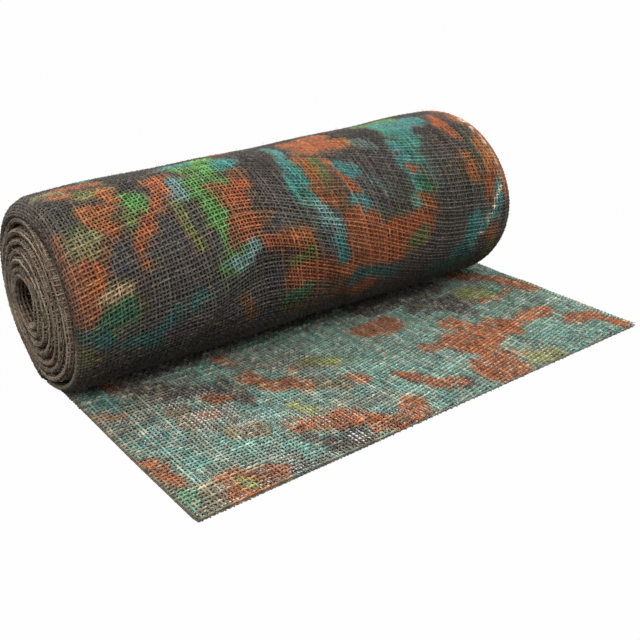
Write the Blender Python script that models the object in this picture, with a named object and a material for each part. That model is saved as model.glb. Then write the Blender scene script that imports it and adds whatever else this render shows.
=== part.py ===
# A roll of open-weave jute scrim with a camouflage print. The cloth is folded once along
# its middle and wound up, and its loose end lies flat in front of the roll.
# X runs along the roll, the loose end points to -Y, and Z = 0 is the surface it rests on.
import math

import bmesh
import bpy
from mathutils import Vector

# Cloth, in metres
CLOTH_WIDTH = 0.4545         # across the folded cloth
PLY = 0.0010                 # thickness of one ply
PLY_GAP = 0.0006             # air between the two plies
FIT = 0.0003                 # space between pieces that touch
STACK = 2 * PLY + PLY_GAP + FIT

# Where the origin lies under the whole: middle of its length and of its depth
CLOTH_LEFT = -0.2214
AXIS_Y = 0.0652

# Roll
ROLL_LEFT = CLOTH_LEFT - 0.0050
ROLL_RIGHT = CLOTH_LEFT + 0.4390
HALF_DEPTH = {"left": 0.0770, "right": 0.0920}
HALF_HEIGHT = {"left": 0.0775, "right": 0.0823}
SINK = 0.0025                # how far the underside is pressed flat
SEAM_Y = 0.0080              # where the outer wrap meets the loose end, behind the axis
SEAM_TURN = 0.0150           # the same place as a part of one turn from the underside

# Rounded ends: the outer wraps curl in over the coil
SHOULDERS = {
    "left": {"length": 0.0166, "inset": 0.0120, "front_inset": 0.0110, "low_inset": 0.0055, "rings": 4},
    "right": {"length": 0.0230, "inset": 0.0320, "front_inset": 0.0250, "low_inset": 0.0200, "rings": 5},
}
BODY_RINGS = 7

# Coil that shows at both ends
COIL_TURNS = 7
SEGMENTS = 52                # around one turn
SEAM_SPREAD = 0.0070         # keeps the coil's first and last edges apart, in turns
HOLE_Y = 0.0020              # middle of the open core, from the roll's axis
HOLE_Z = 0.0725
HOLE_SHARE = 0.205           # size of the core against the end's outline
GROOVE_WIDTH = 0.022         # between turns, against the end's outline
COIL_ENDS = {
    "left": {"dome": 0.0070, "groove": 0.0042, "first_groove": 0.0075},
    "right": {"dome": 0.0045, "groove": 0.0042, "first_groove": 0.0055},
}
HOLE_RINGS = 3
COIL_LEAN = 0.0008           # how far single turns stand in and out

# Slow unevenness of the wound cloth: height, waves along the roll, waves around it, phase
SWELLS = [
    {"height": 0.0009, "along": 1.3, "around": 2, "phase": 0.4},
    {"height": 0.0006, "along": 2.7, "around": 3, "phase": 2.1},
    {"height": 0.0004, "along": 4.1, "around": 5, "phase": 4.6},
    {"height": -0.0012, "along": 0.5, "around": 1, "phase": 0.0},
]
# Arched crease low on the roll's front: its crown and how fast it falls away
CREASE = {"x": -0.0559, "turn": 0.690, "fall": 22.0, "height": 0.0018, "width": 0.022, "spread": 0.085}

# Loose end
LOOSE_LENGTH = 0.2195        # from the roll's axis to the cut edge
CORNER_RADIUS = 0.0025       # at the folded edge's front corner
FOLD_WAVE = 0.0003           # how far the folded edge strays from a straight line
FLAT_FOLD = 0.06             # share of the width, beside the fold, in which the waves rise
WAVES = [
    {"height": 0.00045, "across": 2.3, "along": 1.6, "phase": 0.7},
    {"height": 0.00030, "across": 4.1, "along": 2.9, "phase": 3.0},
]
ACROSS_STEPS = 26
FOLD_STEPS = 4
LOOSE_ROWS = [0.0, 0.0008, 0.0025, 0.006, 0.014, 0.028, 0.044, 0.060, 0.076, 0.092, 0.108,
              0.124, 0.140, 0.156, 0.172, 0.186, 0.198, 0.212]


def clear_scene():
    for item in list(bpy.data.objects):
        bpy.data.objects.remove(item, do_unlink=True)


def material(name, colour, roughness):
    made = bpy.data.materials.new(name)
    made.use_nodes = True
    shader = made.node_tree.nodes["Principled BSDF"]
    shader.inputs["Base Color"].default_value = (*colour, 1.0)
    shader.inputs["Roughness"].default_value = roughness
    shader.inputs["Metallic"].default_value = 0.0
    return made


def solid(name, points, faces, finish, collection):
    mesh = bpy.data.meshes.new(name)
    mesh.from_pydata(points, [], faces)
    shell = bmesh.new()
    shell.from_mesh(mesh)
    bmesh.ops.recalc_face_normals(shell, faces=shell.faces)
    bmesh.ops.triangulate(shell, faces=shell.faces)
    shell.to_mesh(mesh)
    shell.free()
    mesh.shade_smooth()
    mesh.set_sharp_from_angle(angle=math.radians(40))
    mesh.materials.append(finish)
    made = bpy.data.objects.new(name, mesh)
    collection.objects.link(made)
    return made


def mix(first, second, share):
    return first + (second - first) * share


def smooth(low, high, value):
    share = max(0.0, min(1.0, (value - low) / (high - low)))
    return share * share * (3 - 2 * share)


def along_roll(x):
    return (x - ROLL_LEFT) / (ROLL_RIGHT - ROLL_LEFT)


def crease_height(x, turn):
    # An arch: the cloth stands proud along it and lies a little lower beneath it
    crown = CREASE["turn"] + CREASE["fall"] * (x - CREASE["x"]) ** 2
    away = (turn - crown) / CREASE["width"]
    faded = math.exp(-((x - CREASE["x"]) / CREASE["spread"]) ** 2)
    return CREASE["height"] * faded * (math.exp(-away * away) - 0.5 * math.exp(-(away - 2.2) ** 2))


def swell(x, turn):
    height = 0.0
    for wave in SWELLS:
        along = 2 * math.pi * wave["along"] * along_roll(x)
        around = 2 * math.pi * wave["around"] * turn
        height += wave["height"] * math.sin(along + wave["phase"]) * math.cos(around + wave["phase"])
    return height + crease_height(x, turn % 1.0)


def oval_point(x, turn, inset, wrap):
    # turn: 0 at the underside, 0.25 at the back, 0.5 on top and 0.75 in front
    share = along_roll(x)
    half_depth = mix(HALF_DEPTH["left"], HALF_DEPTH["right"], share)
    half_height = mix(HALF_HEIGHT["left"], HALF_HEIGHT["right"], share)
    angle = 2 * math.pi * turn
    inward = inset + wrap - swell(x, turn)
    y = (half_depth - inward) * math.sin(angle)
    z = half_height - SINK - (half_height - inward) * math.cos(angle)
    return y, z


def end_inset(end, turn):
    # Low on the front the wrap keeps more of its size
    sizes = SHOULDERS[end]
    turn = turn % 1.0
    front = max(0.0, -math.sin(2 * math.pi * turn)) ** 1.5
    low = smooth(0.76, 0.87, turn) + smooth(0.10, 0.02, turn)
    return mix(mix(sizes["inset"], sizes["front_inset"], front), sizes["low_inset"], low)


def outline(x, end, curl):
    # One ring round the roll, from the seam behind the underside to the seam again.
    # The wrap winds inwards by one thickness of folded cloth in that turn.
    ring = []
    for step in range(SEGMENTS + 1):
        share = step / SEGMENTS
        turn = SEAM_TURN + share
        inset = curl * end_inset(end, turn) if end else 0.0
        y, z = oval_point(x, turn, inset, STACK * share)
        z = max(z, STACK if share > 0.5 else 0.0)
        if step in (0, SEGMENTS):
            y = SEAM_Y + FIT
        ring.append(Vector((x, AXIS_Y + y, z)))
    return ring


def roll_rings():
    # Rings from the left end's curl, along the body, to the right end's curl
    rings = []
    left, right = SHOULDERS["left"], SHOULDERS["right"]
    for step in range(left["rings"]):
        angle = 0.5 * math.pi * (1 - step / left["rings"])
        x = ROLL_LEFT + left["length"] * (1 - math.sin(angle))
        rings.append(outline(x, "left", 1 - math.cos(angle)))
    start = ROLL_LEFT + left["length"]
    finish = ROLL_RIGHT - right["length"]
    for step in range(BODY_RINGS + 1):
        rings.append(outline(mix(start, finish, step / BODY_RINGS), None, 0.0))
    for step in range(1, right["rings"] + 1):
        angle = 0.5 * math.pi * step / right["rings"]
        x = ROLL_RIGHT - right["length"] * (1 - math.sin(angle))
        rings.append(outline(x, "right", 1 - math.cos(angle)))
    return rings


def coil_point(end, turn, share, sunk):
    # A point on the coil's face: share is 1 at the end's outline and 0 at the core's middle
    edge = ROLL_LEFT if end == "left" else ROLL_RIGHT
    outward = -1.0 if end == "left" else 1.0
    y, z = oval_point(edge, turn, end_inset(end, turn), 0.0)
    dome = COIL_ENDS[end]["dome"] * (1 - share * share)
    lean = COIL_LEAN * math.sin(2 * math.pi * turn * 0.37 + 1.3)
    x = edge + outward * (dome + lean * (1 - share) - sunk)
    return Vector((x, AXIS_Y + mix(HOLE_Y, y, share), mix(HOLE_Z, z, share)))


def coil_rows(end):
    # Three edges wound inwards together: a turn's outer edge, its inner edge and the groove
    sizes = COIL_ENDS[end]
    pitch = (1 - HOLE_SHARE) / (COIL_TURNS + 1)
    rows = {"outer": [], "inner": [], "groove": []}
    for step in range(COIL_TURNS * SEGMENTS + 1):
        wound = step / SEGMENTS
        turn = SEAM_TURN + SEAM_SPREAD + wound * (1 - 2 * SEAM_SPREAD)
        share = 1 - pitch * (wound + 1)
        depth = mix(sizes["first_groove"], sizes["groove"], min(1.0, wound))
        rows["outer"].append(coil_point(end, turn, share + pitch - GROOVE_WIDTH, 0.0))
        rows["inner"].append(coil_point(end, turn, share + GROOVE_WIDTH, 0.0))
        rows["groove"].append(coil_point(end, turn, share, depth))
    return rows


class Builder:
    # Collects points and faces of one closed solid
    def __init__(self):
        self.points = []
        self.faces = []

    def add(self, row):
        first = len(self.points)
        self.points.extend(row)
        return list(range(first, len(self.points)))

    def strip(self, one, other):
        for k in range(len(one) - 1):
            self.faces.append((one[k], one[k + 1], other[k + 1], other[k]))

    def face(self, *corners):
        self.faces.append(corners)


def coil_face(work, end, ring):
    # Joins the end's outline to the wound edges and returns the rim of the open core
    rows = {name: work.add(row) for name, row in coil_rows(end).items()}
    outer, inner, groove = rows["outer"], rows["inner"], rows["groove"]
    turn, last = SEGMENTS, COIL_TURNS * SEGMENTS
    work.strip(ring, outer[:turn + 1])
    work.strip(outer, inner)
    work.strip(inner, groove)
    work.strip(groove[:last - turn + 1], outer[turn:])
    # Where the first turn closes at the seam, and where the last one closes at the core
    work.face(ring[0], outer[0], inner[0], groove[0], outer[turn], ring[turn])
    work.face(groove[last - turn], outer[last], inner[last], groove[last])
    return groove[last - turn:]


def wound_roll(collection):
    work = Builder()
    rings = [work.add(ring) for ring in roll_rings()]
    for one, other in zip(rings, rings[1:]):
        work.strip(one, other)
        work.face(one[-1], one[0], other[0], other[-1])
    left_rim = coil_face(work, "left", rings[0])
    right_rim = coil_face(work, "right", rings[-1])
    walls = [left_rim]
    for step in range(1, HOLE_RINGS):
        share = step / HOLE_RINGS
        row = [work.points[a].lerp(work.points[b], share) for a, b in zip(left_rim, right_rim)]
        walls.append(work.add(row))
    walls.append(right_rim)
    for one, other in zip(walls, walls[1:]):
        work.strip(one, other)
        work.face(one[-1], one[0], other[0], other[-1])
    finish = material("jute_print_outside", (0.150, 0.105, 0.070), 0.92)
    return solid("wound_roll", work.points, work.faces, finish, collection)


def cloth_edges(y):
    # The folded edge waves a little and is rounded off at the front corner
    front = AXIS_Y - LOOSE_LENGTH
    left = CLOTH_LEFT + FOLD_WAVE * (1 + math.sin(31.0 * y + 0.5))
    right = CLOTH_LEFT + CLOTH_WIDTH
    if y < front + CORNER_RADIUS:
        short = 1 - (y - front) / CORNER_RADIUS
        left += CORNER_RADIUS * (1 - math.sqrt(max(0.0, 1 - short * short)))
    return left, right


def lift(across, along):
    # Slow waves of the upper ply, none at the fold or where the roll presses on it
    height = 0.0
    for wave in WAVES:
        turn = 2 * math.pi * (wave["across"] * across + wave["along"] * along) + wave["phase"]
        height += wave["height"] * (1 + math.sin(turn))
    free = max(0.0, min(1.0, (0.70 - along) / 0.25))
    return height * free * min(1.0, across / FLAT_FOLD)


def folded_section(y):
    # One closed back-and-forth outline at this place: under the cloth, round the fold,
    # back over the top, and inside again between the plies
    left, right = cloth_edges(y)
    along = (y - (AXIS_Y - LOOSE_LENGTH)) / LOOSE_LENGTH
    middle = PLY + 0.5 * PLY_GAP
    start = left + middle
    under, over, between_top, between_low = [], [], [], []
    for step in range(ACROSS_STEPS + 1):
        across = 1 - step / ACROSS_STEPS
        x = mix(start, right, across)
        raised = lift(across, along)
        under.append(Vector((x, y, 0.0)))
        between_low.append(Vector((x, y, PLY)))
        between_top.append(Vector((x, y, PLY + PLY_GAP + raised)))
        over.append(Vector((x, y, 2 * PLY + PLY_GAP + raised)))
    outside, inside = [], []
    for step in range(1, FOLD_STEPS):
        angle = math.pi * step / FOLD_STEPS
        for bend, radius in ((outside, middle), (inside, 0.5 * PLY_GAP)):
            x = start - radius * math.sin(angle)
            bend.append(Vector((x, y, middle - radius * math.cos(angle))))
    return under + outside + over[::-1] + between_top + inside[::-1] + between_low[::-1]


def loose_end(collection):
    work = Builder()
    front = AXIS_Y - LOOSE_LENGTH
    reach = LOOSE_LENGTH + SEAM_Y
    places = [front + step for step in LOOSE_ROWS] + [front + reach]
    rows = [work.add(folded_section(y)) for y in places]
    for one, other in zip(rows, rows[1:]):
        work.strip(one, other)
        work.face(one[-1], one[0], other[0], other[-1])
    # The cut ends: the two plies and the fold, filled in step by step
    half = len(rows[0]) // 2
    for row in (rows[0], rows[-1]):
        for k in range(half - 1):
            work.face(row[k], row[k + 1], row[-2 - k], row[-1 - k])
    finish = material("jute_print_reverse", (0.190, 0.235, 0.190), 0.95)
    return solid("loose_end", work.points, work.faces, finish, collection)


def main():
    clear_scene()
    collection = bpy.data.collections.new("camouflage_jute_roll")
    bpy.context.scene.collection.children.link(collection)
    wound_roll(collection)
    loose_end(collection)


main()
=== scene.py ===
import math

import bpy
import numpy as np
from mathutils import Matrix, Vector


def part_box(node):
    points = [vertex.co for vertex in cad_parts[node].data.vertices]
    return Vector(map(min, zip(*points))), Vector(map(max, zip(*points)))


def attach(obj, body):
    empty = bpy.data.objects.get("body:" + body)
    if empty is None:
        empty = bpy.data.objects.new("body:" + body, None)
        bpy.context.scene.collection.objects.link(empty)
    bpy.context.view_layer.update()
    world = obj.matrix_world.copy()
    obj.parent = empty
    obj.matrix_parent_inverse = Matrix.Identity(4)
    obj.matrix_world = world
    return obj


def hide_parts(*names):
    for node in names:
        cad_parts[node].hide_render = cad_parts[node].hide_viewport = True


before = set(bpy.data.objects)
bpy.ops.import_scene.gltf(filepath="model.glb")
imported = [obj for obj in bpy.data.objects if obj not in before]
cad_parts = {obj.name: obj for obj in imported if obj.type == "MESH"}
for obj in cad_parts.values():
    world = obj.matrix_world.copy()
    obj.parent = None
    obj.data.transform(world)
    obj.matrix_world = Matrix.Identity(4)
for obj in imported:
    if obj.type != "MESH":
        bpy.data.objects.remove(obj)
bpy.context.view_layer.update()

looseLow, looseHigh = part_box("loose_end")

# The cloth is a jute scrim, folded once lengthwise. All sizes are in metres.
cloth = {
    "left": looseLow.x,          # the folded edge
    "width": looseHigh.x - looseLow.x,
    "pitch": 0.0029,             # between the lengthwise yarns, at the folded edge
    "pitchTight": 0.00250,       # and where the cloth was pulled tighter, on the roll's right part
    "tightens": (0.05, 0.19),    # from here to here across the roll it gets tighter
    "pitchAcross": 0.0035,       # between the crossing yarns
    "girth": 0.00074,            # half a yarn's thickness
    "rise": 0.00048,             # how far a yarn swings over and under
    "stack": 0.0029,             # thickness of the doubled cloth
}

# The roll, as the CAD part has it. A turn is 0 at the underside, 0.25 at the back, 0.5 on top
# and 0.75 in front.
roll = {
    "axisY": looseLow.y + 0.2195,
    "left": cloth["left"] - 0.0050,
    "right": cloth["left"] + 0.4390,
    "datum": cloth["left"] + 0.2235,  # the blotches are placed from here along the roll
    "datumAcross": 0.238,        # the same place, measured across the wrap from its folded edge
    "halfDepth": (0.0770, 0.0920),
    "halfHeight": (0.0775, 0.0823),
    "sink": 0.0025,
    "seamTurn": 0.0150,
    "girthLength": 0.500,        # the print is laid out along this length for one turn
    "leftEnd": {"length": 0.0166, "inset": 0.0120, "frontInset": 0.0110, "lowInset": 0.0055,
                "across": 0.026, "dome": 0.0070},
    "rightEnd": {"length": 0.0230, "inset": 0.0320, "frontInset": 0.0250, "lowInset": 0.0200,
                 "across": 0.040, "dome": 0.0045},
    "lowFront": (0.76, 0.87),    # between these turns the ends widen to their low inset
    "lowBack": (0.10, 0.02),
    "tuck": 0.0060,              # the outer wrap's edges turn in behind the coil
    "tuckSlope": 0.25,
    "recess": 0.0045,            # in front its left edge lies this much deeper than the coil
    "firstTurn": 0.018,          # the net starts and stops at the seam underneath
    "lastTurn": 0.996,
    "plyDrop": 0.0014,           # the inner ply lies this far under the outer one
    "seed": 11,
}
swells = [
    {"height": 0.0009, "along": 1.3, "around": 2, "phase": 0.4},
    {"height": 0.0006, "along": 2.7, "around": 3, "phase": 2.1},
    {"height": 0.0004, "along": 4.1, "around": 5, "phase": 4.6},
    {"height": -0.0012, "along": 0.5, "around": 1, "phase": 0.0},
]
# The arched crease low on the front. Its dip lies dipAway widths below its ridge.
crease = {"x": -0.0559, "turn": 0.690, "fall": 22.0, "height": 0.0030, "width": 0.022,
          "reach": 0.085, "dip": 0.5, "dipAway": 2.2}


def mix(first, second, share):
    return first + (second - first) * share


def smooth(low, high, value):
    share = np.clip((value - low) / (high - low), 0.0, 1.0)
    return share * share * (3 - 2 * share)


def linear(red, green, blue):
    # From the 0-255 values that a screen shows to Blender's linear ones
    shown = np.array((red, green, blue)) / 255.0
    return np.where(shown <= 0.04045, shown / 12.92, ((shown + 0.055) / 1.055) ** 2.4)


def latticeNoise(a, b, seed):
    # Smooth unevenness from -1 to 1, one bump a unit
    table = np.random.default_rng(seed).uniform(-1.0, 1.0, (97, 97))
    a, b = np.broadcast_arrays(np.asarray(a, float), np.asarray(b, float))
    i, j = np.floor(a).astype(int), np.floor(b).astype(int)
    u, v = a - i, b - j
    u, v = u * u * (3 - 2 * u), v * v * (3 - 2 * v)
    i0, i1, j0, j1 = i % 97, (i + 1) % 97, j % 97, (j + 1) % 97
    low = mix(table[i0, j0], table[i1, j0], u)
    high = mix(table[i0, j1], table[i1, j1], u)
    return mix(low, high, v)


# The print's colours as a screen shows them, on the outside of the roll and on its paler reverse
inks = {
    "charcoal": (72, 68, 67),
    "slate": (80, 94, 90),
    "rust": (150, 84, 48),
    "leaf": (83, 128, 72),
    "moss": (98, 106, 58),
    "khaki": (122, 118, 82),
    "teal": (60, 122, 118),
    "deepteal": (40, 90, 88),
    "paleteal": (102, 134, 130),
    "emerald": (42, 98, 72),
    "brown": (112, 77, 50),
    "cream": (162, 146, 116),
}
reverseInks = {
    "ground": (102, 142, 131),
    "charcoal": (58, 54, 55),
    "rust": (146, 75, 32),
    "khaki": (118, 106, 82),
    "tan": (166, 130, 98),
    "lime": (126, 134, 74),
    "green": (70, 122, 88),
    "teal": (86, 130, 124),
}
halos = {"rust": "brown", "leaf": "moss", "teal": "slate", "paleteal": "slate", "moss": "brown",
         "khaki": "moss", "emerald": "moss", "deepteal": "slate", "cream": "khaki"}
reverseHalos = {"rust": "khaki", "lime": "khaki", "green": "teal", "tan": "khaki"}

# Blotches of the print on the roll, each a short stroke with ragged edges, in millimetres:
# ink, from x and distance around the roll, to x and distance around, half its width
rollBlotches = [
    ("khaki", -214, 248, -200, 250, 4),
    ("rust", -200, 246, -170, 243, 4),
    ("rust", -205, 258, -192, 258, 3),
    ("moss", -188, 262, -168, 262, 5),
    ("rust", -168, 262, -166, 275, 5),
    ("rust", -194, 282, -178, 284, 6),
    ("rust", -192, 292, -183, 298, 7),
    ("rust", -186, 300, -184, 309, 6),
    ("khaki", -213, 309, -199, 306, 8),
    ("khaki", -213, 319, -203, 317, 7),
    ("rust", -224, 304, -223, 320, 3),
    ("brown", -194, 318, -196, 340, 5),
    ("rust", -219, 332, -203, 332, 7),
    ("rust", -217, 345, -207, 346, 8),
    ("rust", -222, 358, -212, 360, 9),
    ("rust", -226, 370, -218, 370, 6),
    ("cream", -207, 359, -183, 351, 4),
    ("emerald", -205, 372, -185, 367, 7),
    ("emerald", -215, 380, -202, 386, 6),
    ("deepteal", -222, 385, -205, 392, 8),
    ("moss", -222, 400, -217, 408, 7),
    ("deepteal", -182, 398, -165, 402, 7),
    ("deepteal", -160, 395, -150, 383, 5),
    ("deepteal", -136, 384, -128, 370, 4),
    ("rust", -137, 262, -120, 264, 4),
    ("rust", -129, 268, -128, 277, 7),
    ("rust", -134, 282, -145, 294, 6),
    ("rust", -150, 300, -160, 312, 4),
    ("rust", -162, 314, -165, 322, 4),
    ("rust", -165, 334, -165, 340, 4),
    ("leaf", -156, 277, -156, 290, 7),
    ("moss", -164, 296, -168, 308, 5),
    ("teal", -112, 247, -92, 245, 4),
    ("paleteal", -118, 274, -121, 292, 6),
    ("leaf", -98, 258, -80, 262, 8),
    ("leaf", -104, 275, -85, 280, 9),
    ("leaf", -104, 290, -92, 296, 7),
    ("leaf", -85, 244, -72, 246, 5),
    ("teal", -72, 258, -60, 262, 7),
    ("moss", -124, 300, -117, 318, 8),
    ("moss", -122, 322, -118, 334, 6),
    ("brown", -92, 290, -96, 335, 9),
    ("brown", -68, 278, -58, 276, 6),
    ("leaf", -101, 296, -100, 315, 5),
    ("leaf", -100, 315, -104, 340, 4),
    ("leaf", -104, 346, -101, 356, 6),
    ("leaf", -98, 350, -90, 345, 5),
    ("charcoal", -117, 300, -109, 346, 5),
    ("rust", -80, 296, -68, 290, 7),
    ("rust", -84, 306, -76, 308, 7),
    ("rust", -84, 322, -74, 322, 9),
    ("rust", -84, 334, -78, 336, 6),
    ("brown", -64, 322, -56, 320, 4),
    ("paleteal", -96, 353, -80, 346, 6),
    ("brown", -90, 388, -84, 402, 7),
    ("rust", 5, 248, 45, 246, 8),
    ("rust", 12, 262, 50, 268, 9),
    ("rust", -2, 282, 2, 300, 8),
    ("moss", 12, 284, 8, 304, 5),
    ("rust", 22, 288, 28, 310, 4),
    ("rust", 27, 310, 29, 336, 4),
    ("brown", -10, 306, -2, 312, 5),
    ("rust", -6, 314, 6, 326, 5),
    ("brown", 12, 312, 14, 330, 5),
    ("teal", -17, 250, -13, 264, 4),
    ("teal", -16, 274, -14, 298, 7),
    ("teal", -22, 300, -16, 320, 7),
    ("paleteal", -18, 320, -10, 328, 5),
    ("paleteal", -10, 334, 2, 350, 5),
    ("paleteal", -2, 354, 4, 362, 5),
    ("teal", 0, 362, 10, 374, 6),
    ("teal", 30, 292, 36, 304, 6),
    ("teal", 24, 328, 34, 334, 5),
    ("slate", 62, 272, 72, 278, 7),
    ("slate", 54, 318, 62, 326, 7),
    ("slate", 116, 310, 120, 328, 8),
    ("teal", 108, 252, 150, 256, 9),
    ("leaf", 95, 241, 130, 242, 4),
    ("teal", 110, 268, 125, 272, 9),
    ("teal", 100, 288, 115, 286, 9),
    ("teal", 103, 298, 108, 304, 7),
    ("teal", 95, 308, 100, 328, 7),
    ("emerald", 104, 326, 107, 333, 5),
    ("rust", 98, 313, 101, 318, 3),
    ("paleteal", 88, 336, 88, 348, 4),
    ("rust", 96, 337, 104, 350, 4),
    ("rust", 104, 350, 102, 364, 6),
    ("rust", 18, 344, 34, 348, 9),
    ("rust", 18, 362, 74, 366, 10),
    ("rust", 16, 378, 66, 380, 9),
    ("rust", 80, 362, 92, 358, 7),
    ("moss", 84, 378, 94, 371, 7),
    ("deepteal", 20, 394, 60, 402, 6),
    ("rust", 8, 413, 40, 414, 7),
    ("deepteal", 124, 420, 158, 414, 7),
    ("moss", 188, 404, 190, 424, 5),
    ("rust", -66, 346, -30, 346, 6),
    ("rust", -34, 356, -26, 374, 8),
    ("moss", -46, 366, -32, 364, 7),
    ("rust", -46, 380, -16, 378, 8),
    ("rust", -12, 380, 8, 386, 8),
    ("brown", -18, 400, 6, 400, 8),
    ("emerald", -46, 402, -32, 398, 7),
    ("brown", -40, 416, 10, 418, 5),
    ("rust", 174, 256, 170, 288, 6),
    ("rust", 164, 312, 166, 334, 5),
    ("rust", 196, 238, 198, 300, 6),
    ("rust", 200, 300, 200, 352, 6),
    ("rust", 188, 302, 189, 326, 5),
    ("rust", 186, 324, 182, 352, 8),
    ("teal", 158, 372, 153, 396, 9),
    ("teal", 190, 352, 176, 380, 7),
    ("deepteal", 140, 402, 154, 408, 6),
    ("rust", 180, 384, 182, 394, 4),
]
# The same on the loose end: x and distance forward of the roll's axis
looseBlotches = [
    ("charcoal", -196, 22, -120, 34, 13),
    ("charcoal", -185, 44, -132, 98, 12),
    ("charcoal", -124, 84, -120, 114, 8),
    ("charcoal", -105, 20, 20, 22, 14),
    ("charcoal", 56, 44, 140, 48, 17),
    ("charcoal", 108, 76, 138, 88, 18),
    ("charcoal", 124, 100, 130, 114, 8),
    ("charcoal", -118, 118, -121, 126, 5),
    ("charcoal", -82, 198, -84, 220, 11),
    ("charcoal", -106, 206, -88, 212, 8),
    ("charcoal", -117, 188, -104, 200, 5),
    ("charcoal", -143, 214, -136, 213, 5),
    ("charcoal", 2, 160, 8, 178, 6),
    ("charcoal", 28, 204, 36, 196, 5),
    ("teal", -206, 50, -198, 62, 9),
    ("teal", -197, 110, -192, 152, 8),
    ("teal", -120, 140, -100, 146, 8),
    ("teal", -62, 150, -30, 160, 9),
    ("teal", 2, 211, 12, 214, 5),
    ("tan", -217, 72, -206, 84, 5),
    ("tan", -63, 95, -60, 102, 5),
    ("tan", 104, 188, 110, 197, 4),
    ("khaki", -172, 102, -168, 122, 11),
    ("khaki", -150, 150, -135, 158, 9),
    ("khaki", -214, 215, -196, 216, 6),
    ("khaki", -205, 196, -195, 208, 8),
    ("khaki", -112, 163, -110, 168, 5),
    ("khaki", -60, 128, -48, 150, 6),
    ("lime", -46, 96, -30, 109, 8),
    ("green", -19, 105, -16, 113, 5),
    ("lime", -96, 150, -90, 160, 7),
    ("green", -217, 190, -216, 203, 5),
    ("rust", -193, 26, -190, 36, 5),
    ("rust", -98, 46, -98, 60, 5),
    ("rust", -101, 90, -90, 112, 9),
    ("rust", -76, 114, -67, 130, 7),
    ("rust", -139, 98, -131, 103, 7),
    ("rust", -154, 120, -147, 124, 6),
    ("rust", -32, 138, -28, 148, 8),
    ("rust", -107, 175, -76, 184, 10),
    ("rust", -88, 184, -70, 192, 8),
    ("rust", -219, 150, -214, 178, 7),
    ("rust", -184, 198, -156, 206, 11),
    ("rust", -190, 212, -172, 216, 7),
    ("lime", -182, 204, -178, 208, 5),
    ("rust", 34, 84, 54, 84, 15),
    ("rust", 86, 152, 125, 151, 20),
    ("rust", 98, 120, 106, 140, 11),
    ("rust", 130, 154, 188, 149, 9),
    ("rust", 92, 164, 88, 186, 12),
    ("rust", 48, 141, 76, 146, 7),
    ("rust", 66, 192, 84, 210, 15),
    ("rust", 56, 208, 62, 214, 9),
    ("rust", 184, 40, 210, 72, 9),
    ("rust", 213, 76, 221, 106, 9),
    ("rust", 158, 103, 200, 98, 6),
    ("lime", 163, 80, 172, 87, 13),
    ("green", 187, 84, 188, 96, 6),
    ("rust", 198, 178, 212, 185, 10),
    ("rust", 216, 190, 222, 214, 7),
    ("rust", 2, 160, 10, 184, 4),
    ("rust", 12, 188, 28, 197, 6),
    ("rust", -20, 196, -33, 211, 9),
    ("rust", -74, 178, -60, 200, 6),
    ("rust", -60, 208, -42, 215, 9),
    ("lime", 112, 207, 124, 210, 9),
]
# Blotches scattered where the photo doesn't look: inks, spans of both places, how many, seed
hiddenBlotches = [
    (["rust", "rust", "teal", "leaf", "moss", "deepteal", "brown", "paleteal"], (-230, 215), (0, 200), 84, 5),
    (["brown", "deepteal", "emerald"], (-230, 215), (432, 500), 14, 6),
]
lowerBlotches = (["rust", "charcoal", "khaki", "khaki", "green"], (-225, 235), (0, 218), 46, 8)


def strayBlotches(names, alongSpan, aroundSpan, count, seed):
    rng = np.random.default_rng(seed)
    made = []
    for name in rng.choice(names, count):
        x, around = rng.uniform(*alongSpan), rng.uniform(*aroundSpan)
        heading, length = rng.uniform(0, math.pi), rng.uniform(5, 45)
        reach = (length * math.cos(heading), length * math.sin(heading))
        made.append((name, x, around, x + reach[0], around + reach[1], rng.uniform(3, 9)))
    return made


# The print's outlines, in millimetres: bumps of one size, and how far they push an outline
outline = {
    "coarse": (15, 4.2),
    "fine": (5, 2.0),
    "ragged": (2.3, 1.6),
    "halo": 7.5,                 # how far a halo reaches past its blotch
    "haloInk": 0.55,
    "soft": 2.4,
    "ink": 0.90,
}


def printed(a, b, ground, blotches, colours, outer, seed):
    # The print's colour at places a, b, in metres, on the flat cloth. outer names each ink's halo.
    a, b = a * 1000, b * 1000
    (wide, far), (small, near), (tiny, rough) = outline["coarse"], outline["fine"], outline["ragged"]
    warps = [far * latticeNoise(a / wide, b / wide, seed + step)
             + near * latticeNoise(a / small, b / small, seed + step + 1) for step in (0, 2)]
    ragged = rough * latticeNoise(a / tiny, b / tiny, seed + 4)
    a, b = a + warps[0], b + warps[1]
    colour = np.empty(a.shape + (3,))
    colour[:] = linear(*colours[ground])
    distances = []
    for name, a0, b0, a1, b1, half in blotches:
        reach = (a1 - a0) ** 2 + (b1 - b0) ** 2 + 1e-6
        share = np.clip(((a - a0) * (a1 - a0) + (b - b0) * (b1 - b0)) / reach, 0, 1)
        away = np.hypot(a - a0 - share * (a1 - a0), b - b0 - share * (b1 - b0)) - half + ragged
        distances.append(away)
        if name in outer:
            cover = smooth(outline["halo"], 0.0, away)[..., None]
            colour = mix(colour, linear(*colours[outer[name]]), outline["haloInk"] * cover)
    for (name, *_), away in zip(blotches, distances):
        cover = smooth(outline["soft"], -outline["soft"], away)[..., None]
        colour = mix(colour, linear(*colours[name]), outline["ink"] * cover)
    return colour


def speckled(colour, a, b, layers, seed=0):
    # Lays each layer of uneven patches over a colour: an ink, or the colour's own values times three
    for layer in layers:
        sizeA, sizeB = layer["perMetre"]
        spots = smooth(*layer["between"], latticeNoise(a * sizeA, b * sizeB, seed + layer["seed"]))[..., None]
        toward = colour * np.array(layer["times"]) if "times" in layer else linear(*layer["ink"])
        colour = mix(colour, toward, layer["share"] * spots)
    return colour


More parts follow.
